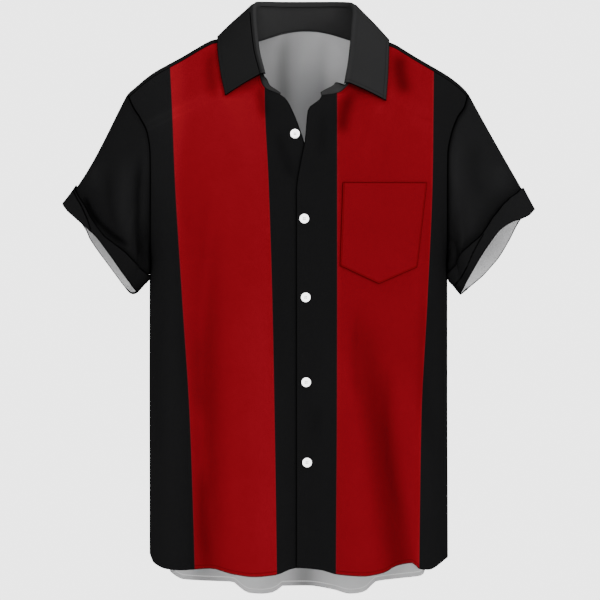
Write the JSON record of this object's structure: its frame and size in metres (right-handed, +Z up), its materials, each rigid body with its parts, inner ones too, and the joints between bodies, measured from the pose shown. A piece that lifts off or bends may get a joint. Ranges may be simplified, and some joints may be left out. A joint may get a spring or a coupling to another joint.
{
  "type": "bowling shirt",
  "caption": "Short-sleeved button-front shirt with turned-down open collar, turned-up cuffs, a chest pocket and long colour stripes on the front panels, shown filled out with no wearer",
  "frame": {"origin": "middle of the neck opening, level with the sides of the neck, where the shirt is carried by the wearer's shoulders", "axes": "+Z up along the body, -Y out of the shirt's front, +X towards the wearer's left sleeve"},
  "size_m": [0.6215, 0.2798, 0.7809],
  "materials": {
    "black_cloth": "matt woven black cloth, light grey on its reverse",
    "red_cloth": "matt woven cloth, a deep red panel between black stripes on the fronts, light grey on its reverse",
    "white_plastic": "polished white shirt button with four holes"
  },
  "bodies": {
    "root": {"back": "black_cloth", "front_right": "red_cloth", "front_left": "red_cloth", "sleeve_right": "black_cloth", "sleeve_left": "black_cloth", "cuff_right": "black_cloth", "cuff_left": "black_cloth", "collar_stand": "black_cloth", "collar_fall": "black_cloth", "pocket": "red_cloth", "button_1": "white_plastic", "button_2": "white_plastic", "button_3": "white_plastic", "button_4": "white_plastic", "button_5": "white_plastic"}
  },
  "joints": []
}
